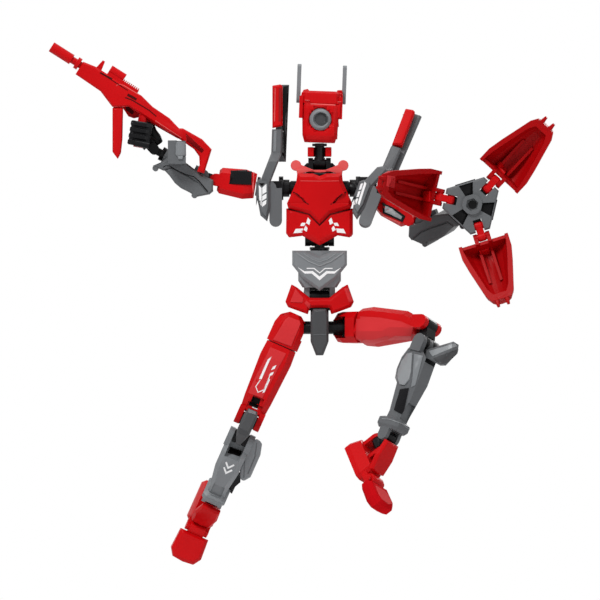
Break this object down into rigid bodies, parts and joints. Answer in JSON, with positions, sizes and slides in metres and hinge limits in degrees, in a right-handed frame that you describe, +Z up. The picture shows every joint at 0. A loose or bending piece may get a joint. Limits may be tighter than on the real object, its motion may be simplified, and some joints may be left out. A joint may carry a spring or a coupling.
{
  "type": "toy robot action figure",
  "caption": "Slim jointed toy robot in a leaping pose, red, grey and black, with a toy blaster in one hand and a three-petal claw as the other.",
  "frame": {"origin": "centre of the flat stand face on the back plate, where a display stand's arm rests", "axes": "+Z up along the torso, -Y the way the robot faces, +X towards its left side"},
  "size_m": [0.1558, 0.0786, 0.1624],
  "materials": {
    "red_shell": "satin moulded",
    "grey_armour": "fine matt moulded",
    "black_frame": "glossy moulded"
  },
  "bodies": {
    "torso": {"chest_frame": "black_frame", "chest_plate": "red_shell", "back_plate": "grey_armour", "collar": "red_shell"},
    "neck": {"neck_post": "black_frame", "neck_yoke": "red_shell"},
    "head": {"head_shell": "red_shell", "eye_ring": "grey_armour"},
    "ear_right": {"ear_blade_right": "grey_armour"},
    "ear_left": {"ear_blade_left": "grey_armour"},
    "waist": {"waist_link": "black_frame"},
    "abdomen": {"abdomen_shell": "grey_armour"},
    "pelvis": {"pelvis_frame": "black_frame", "pelvis_armor": "red_shell", "groin_guard": "grey_armour"},
    "hip_right": {"hip_link_right": "black_frame"},
    "thigh_cap_right": {"thigh_cap_right": "red_shell"},
    "thigh_right": {"thigh_shell_right": "red_shell"},
    "knee_right": {"knee_link_right": "black_frame"},
    "kneecap_right": {"kneecap_right": "grey_armour"},
    "shin_right": {"shin_shell_right": "grey_armour"},
    "ankle_right": {"ankle_link_right": "black_frame"},
    "foot_right": {"foot_shell_right": "red_shell"},
    "toe_right": {"toe_right": "red_shell"},
    "hip_left": {"hip_link_left": "black_frame"},
    "thigh_cap_left": {"thigh_cap_left": "red_shell"},
    "thigh_left": {"thigh_shell_left": "red_shell"},
    "knee_left": {"knee_link_left": "black_frame"},
    "kneecap_left": {"kneecap_left": "grey_armour"},
    "shin_left": {"shin_shell_left": "grey_armour"},
    "ankle_left": {"ankle_link_left": "black_frame"},
    "foot_left": {"foot_shell_left": "red_shell"},
    "toe_left": {"toe_left": "red_shell"},
    "shoulder_right": {"shoulder_hub_right": "black_frame"},
    "guard_right": {"shoulder_guard_right": "grey_armour", "wing_blade_right": "red_shell"},
    "arm_root_right": {"arm_root_right": "black_frame"},
    "upper_arm_right": {"upper_arm_shell_right": "red_shell"},
    "elbow_right": {"elbow_link_right": "black_frame"},
    "forearm_right": {"forearm_shell_right": "grey_armour"},
    "wrist_right": {"wrist_link_right": "black_frame"},
    "hand_right": {"hand_right": "black_frame", "blaster_body": "red_shell", "blaster_magazine": "red_shell"},
    "shoulder_left": {"shoulder_hub_left": "black_frame"},
    "guard_left": {"shoulder_guard_left": "grey_armour", "wing_blade_left": "red_shell"},
    "arm_root_left": {"arm_root_left": "black_frame"},
    "upper_arm_left": {"upper_arm_shell_left": "red_shell"},
    "elbow_left": {"elbow_link_left": "black_frame"},
    "forearm_left": {"forearm_shell_left": "grey_armour"},
    "wrist_left": {"wrist_link_left": "black_frame"},
    "hand_left": {"claw_hub": "grey_armour"},
    "claw_link_1": {"claw_link_1": "red_shell"},
    "claw_petal_1": {"claw_petal_1": "red_shell"},
    "claw_link_2": {"claw_link_2": "red_shell"},
    "claw_petal_2": {"claw_petal_2": "red_shell"},
    "claw_link_3": {"claw_link_3": "red_shell"},
    "claw_petal_3": {"claw_petal_3": "red_shell"}
  },
  "joints": [
    {"name": "neck_nod", "type": "hinge", "parent": "torso", "child": "neck", "pos_m": [0, -0.0076, 0.0128], "axis": [1, 0, 0], "range_deg": [-20, 20]},
    {"name": "head_turn", "type": "hinge", "parent": "neck", "child": "head", "pos_m": [0, -0.0076, 0.0192], "axis": [0, 0, 1], "range_deg": [-60, 60]},
    {"name": "ear_tilt_right", "type": "hinge", "parent": "head", "child": "ear_right", "pos_m": [-0.00655, -0.0069, 0.03284], "axis": [0.9994, 0, -0.0349], "range_deg": [-30, 30]},
    {"name": "ear_tilt_left", "type": "hinge", "parent": "head", "child": "ear_left", "pos_m": [0.00749, -0.0069, 0.03235], "axis": [0.9994, 0, -0.0349], "range_deg": [-30, 30]},
    {"name": "waist_bend", "type": "hinge", "parent": "torso", "child": "waist", "pos_m": [0, -0.0076, -0.0109], "axis": [1, 0, 0], "range_deg": [-12, 15]},
    {"name": "waist_twist", "type": "hinge", "parent": "waist", "child": "abdomen", "pos_m": [0, -0.0076, -0.0142], "axis": [0, 0, 1], "range_deg": [-25, 25]},
    {"name": "pelvis_tilt", "type": "hinge", "parent": "abdomen", "child": "pelvis", "pos_m": [0, -0.0076, -0.0284], "axis": [1, 0, 0], "range_deg": [-12, 12]},
    {"name": "hip_swing_right", "type": "hinge", "parent": "pelvis", "child": "hip_right", "pos_m": [-0.0092, -0.0076, -0.038], "axis": [1, 0, 0], "range_deg": [-80, 25]},
    {"name": "hip_splay_right", "type": "hinge", "parent": "hip_right", "child": "thigh_cap_right", "pos_m": [-0.0092, -0.0076, -0.038], "axis": [0, 1, 0], "range_deg": [-15, 25]},
    {"name": "thigh_twist_right", "type": "hinge", "parent": "thigh_cap_right", "child": "thigh_right", "pos_m": [-0.0092, -0.0076, -0.038], "axis": [0.4067, 0, 0.9135], "range_deg": [-30, 30]},
    {"name": "knee_upper_right", "type": "hinge", "parent": "thigh_right", "child": "knee_right", "pos_m": [-0.02197, -0.0076, -0.06669], "axis": [0.9135, 0, -0.4067], "range_deg": [-23, 35]},
    {"name": "kneecap_swing_right", "type": "hinge", "parent": "knee_right", "child": "kneecap_right", "pos_m": [-0.02437, -0.0051, -0.07207], "axis": [0.9135, 0, -0.4067], "range_deg": [0, 60]},
    {"name": "knee_lower_right", "type": "hinge", "parent": "knee_right", "child": "shin_right", "pos_m": [-0.02437, -0.0051, -0.07207], "axis": [0.9135, 0, -0.4067], "range_deg": [-23, 35]},
    {"name": "ankle_pitch_right", "type": "hinge", "parent": "shin_right", "child": "ankle_right", "pos_m": [-0.03313, 0.0172, -0.09174], "axis": [0.9135, 0, -0.4067], "range_deg": [-55, 5]},
    {"name": "ankle_roll_right", "type": "hinge", "parent": "ankle_right", "child": "foot_right", "pos_m": [-0.03318, 0.0211, -0.09186], "axis": [0.4065, 0.0349, 0.913], "range_deg": [-15, 15]},
    {"name": "toe_bend_right", "type": "hinge", "parent": "foot_right", "child": "toe_right", "pos_m": [-0.03833, 0.02717, -0.1012], "axis": [0.9027, 0.1391, -0.4072], "range_deg": [-25, 20]},
    {"name": "hip_swing_left", "type": "hinge", "parent": "pelvis", "child": "hip_left", "pos_m": [0.0092, -0.0076, -0.038], "axis": [1, 0, 0], "range_deg": [-10, 100]},
    {"name": "hip_splay_left", "type": "hinge", "parent": "hip_left", "child": "thigh_cap_left", "pos_m": [0.0092, -0.0076, -0.038], "axis": [0, -0.0349, -0.9994], "range_deg": [-10, 30]},
    {"name": "thigh_twist_left", "type": "hinge", "parent": "thigh_cap_left", "child": "thigh_left", "pos_m": [0.0092, -0.0076, -0.038], "axis": [-0.766, 0.6424, -0.0224], "range_deg": [-30, 30]},
    {"name": "knee_upper_left", "type": "hinge", "parent": "thigh_left", "child": "knee_left", "pos_m": [0.03325, -0.02777, -0.0373], "axis": [0.604, 0.7075, -0.3669], "range_deg": [-58, 0]},
    {"name": "kneecap_swing_left", "type": "hinge", "parent": "knee_left", "child": "kneecap_left", "pos_m": [0.03272, -0.03034, -0.04313], "axis": [0.604, 0.7075, -0.3669], "range_deg": [-60, 0]},
    {"name": "knee_lower_left", "type": "hinge", "parent": "knee_left", "child": "shin_left", "pos_m": [0.03272, -0.03034, -0.04313], "axis": [0.604, 0.7075, -0.3669], "range_deg": [-3, 25]},
    {"name": "ankle_pitch_left", "type": "hinge", "parent": "shin_left", "child": "ankle_left", "pos_m": [0.02112, -0.03514, -0.07148], "axis": [0.604, 0.7075, -0.3669], "range_deg": [-55, 5]},
    {"name": "ankle_roll_left", "type": "hinge", "parent": "ankle_left", "child": "foot_left", "pos_m": [0.01823, -0.03387, -0.07378], "axis": [-0.2984, 0.6277, 0.719], "range_deg": [-15, 15]},
    {"name": "toe_bend_left", "type": "hinge", "parent": "foot_left", "child": "toe_left", "pos_m": [0.01653, -0.03829, -0.08509], "axis": [0.604, 0.7075, -0.3669], "range_deg": [-25, 20]},
    {"name": "shoulder_swing_right", "type": "hinge", "parent": "torso", "child": "shoulder_right", "pos_m": [-0.0155, -0.0076, 0.0051], "axis": [1, 0, 0], "range_deg": [-40, 50]},
    {"name": "guard_tilt_right", "type": "hinge", "parent": "shoulder_right", "child": "guard_right", "pos_m": [-0.0155, -0.0076, 0.0051], "axis": [0, 1, 0], "range_deg": [-3, 4]},
    {"name": "arm_raise_right", "type": "hinge", "parent": "shoulder_right", "child": "arm_root_right", "pos_m": [-0.0155, -0.0076, 0.0051], "axis": [0, 1, 0], "range_deg": [-38, 10]},
    {"name": "arm_twist_right", "type": "hinge", "parent": "arm_root_right", "child": "upper_arm_right", "pos_m": [-0.0155, -0.0076, 0.0051], "axis": [0.9877, 0, -0.1564], "range_deg": [-35, 45]},
    {"name": "elbow_upper_right", "type": "hinge", "parent": "upper_arm_right", "child": "elbow_right", "pos_m": [-0.03209, -0.0076, 0.00773], "axis": [0, 1, 0], "range_deg": [-8, 40]},
    {"name": "elbow_lower_right", "type": "hinge", "parent": "elbow_right", "child": "forearm_right", "pos_m": [-0.03608, -0.0076, 0.00906], "axis": [0, 1, 0], "range_deg": [-8, 40]},
    {"name": "wrist_turn_right", "type": "hinge", "parent": "forearm_right", "child": "wrist_right", "pos_m": [-0.04817, -0.0076, 0.01549], "axis": [0.8829, 0, -0.4695], "range_deg": [-12, 0]},
    {"name": "wrist_bend_right", "type": "hinge", "parent": "wrist_right", "child": "hand_right", "pos_m": [-0.05109, -0.0076, 0.01704], "axis": [0, 1, 0], "range_deg": [-25, 0]},
    {"name": "shoulder_swing_left", "type": "hinge", "parent": "torso", "child": "shoulder_left", "pos_m": [0.0155, -0.0076, 0.0051], "axis": [1, 0, 0], "range_deg": [-40, 0]},
    {"name": "guard_tilt_left", "type": "hinge", "parent": "shoulder_left", "child": "guard_left", "pos_m": [0.0155, -0.00904, 0.00202], "axis": [0, 0.9063, -0.4226], "range_deg": [-12, 0]},
    {"name": "arm_raise_left", "type": "hinge", "parent": "shoulder_left", "child": "arm_root_left", "pos_m": [0.0155, -0.0076, 0.0051], "axis": [0, 0.9063, -0.4226], "range_deg": [-20, 10]},
    {"name": "arm_twist_left", "type": "hinge", "parent": "arm_root_left", "child": "upper_arm_left", "pos_m": [0.0155, -0.0076, 0.0051], "axis": [-0.7997, 0.2537, 0.5442], "range_deg": [-30, 30]},
    {"name": "elbow_upper_left", "type": "hinge", "parent": "upper_arm_left", "child": "elbow_left", "pos_m": [0.02893, -0.01186, -0.00404], "axis": [0.4384, 0.866, 0.2404], "range_deg": [-15, 20]},
    {"name": "elbow_lower_left", "type": "hinge", "parent": "elbow_left", "child": "forearm_left", "pos_m": [0.03271, -0.01359, -0.00469], "axis": [0.4384, 0.866, 0.2404], "range_deg": [-15, 20]},
    {"name": "wrist_turn_left", "type": "hinge", "parent": "forearm_left", "child": "wrist_left", "pos_m": [0.04405, -0.02035, -0.00104], "axis": [-0.8283, 0.4931, -0.266], "range_deg": [-10, 45]},
    {"name": "wrist_bend_left", "type": "hinge", "parent": "wrist_left", "child": "hand_left", "pos_m": [0.04679, -0.02198, -0.00017], "axis": [-0.3053, 0.0008, 0.9523], "range_deg": [-2, 20]},
    {"name": "claw_link_turn_1", "type": "hinge", "parent": "hand_left", "child": "claw_link_1", "pos_m": [0.05142, -0.02707, 0.00482], "axis": [0.7322, -0.0003, -0.6811], "range_deg": [-12, 30]},
    {"name": "claw_petal_turn_1", "type": "hinge", "parent": "claw_link_1", "child": "claw_petal_1", "pos_m": [0.05387, -0.02706, 0.00746], "axis": [0.7322, -0.0003, -0.6811], "range_deg": [-10, 40]},
    {"name": "claw_link_turn_2", "type": "hinge", "parent": "hand_left", "child": "claw_link_2", "pos_m": [0.04879, -0.02708, -0.00666], "axis": [-0.9559, -0.0009, -0.2936], "range_deg": [-12, 30]},
    {"name": "claw_petal_turn_2", "type": "hinge", "parent": "claw_link_2", "child": "claw_petal_2", "pos_m": [0.04984, -0.02709, -0.0101], "axis": [-0.9559, -0.0009, -0.2936], "range_deg": [-10, 40]},
    {"name": "claw_link_turn_3", "type": "hinge", "parent": "hand_left", "child": "claw_link_3", "pos_m": [0.04016, -0.02708, 0.00136], "axis": [0.2237, 0.0012, 0.9747], "range_deg": [-12, 30]},
    {"name": "claw_petal_turn_3", "type": "hinge", "parent": "claw_link_3", "child": "claw_petal_3", "pos_m": [0.03665, -0.02708, 0.00217], "axis": [0.2237, 0.0012, 0.9747], "range_deg": [-10, 40]}
  ]
}
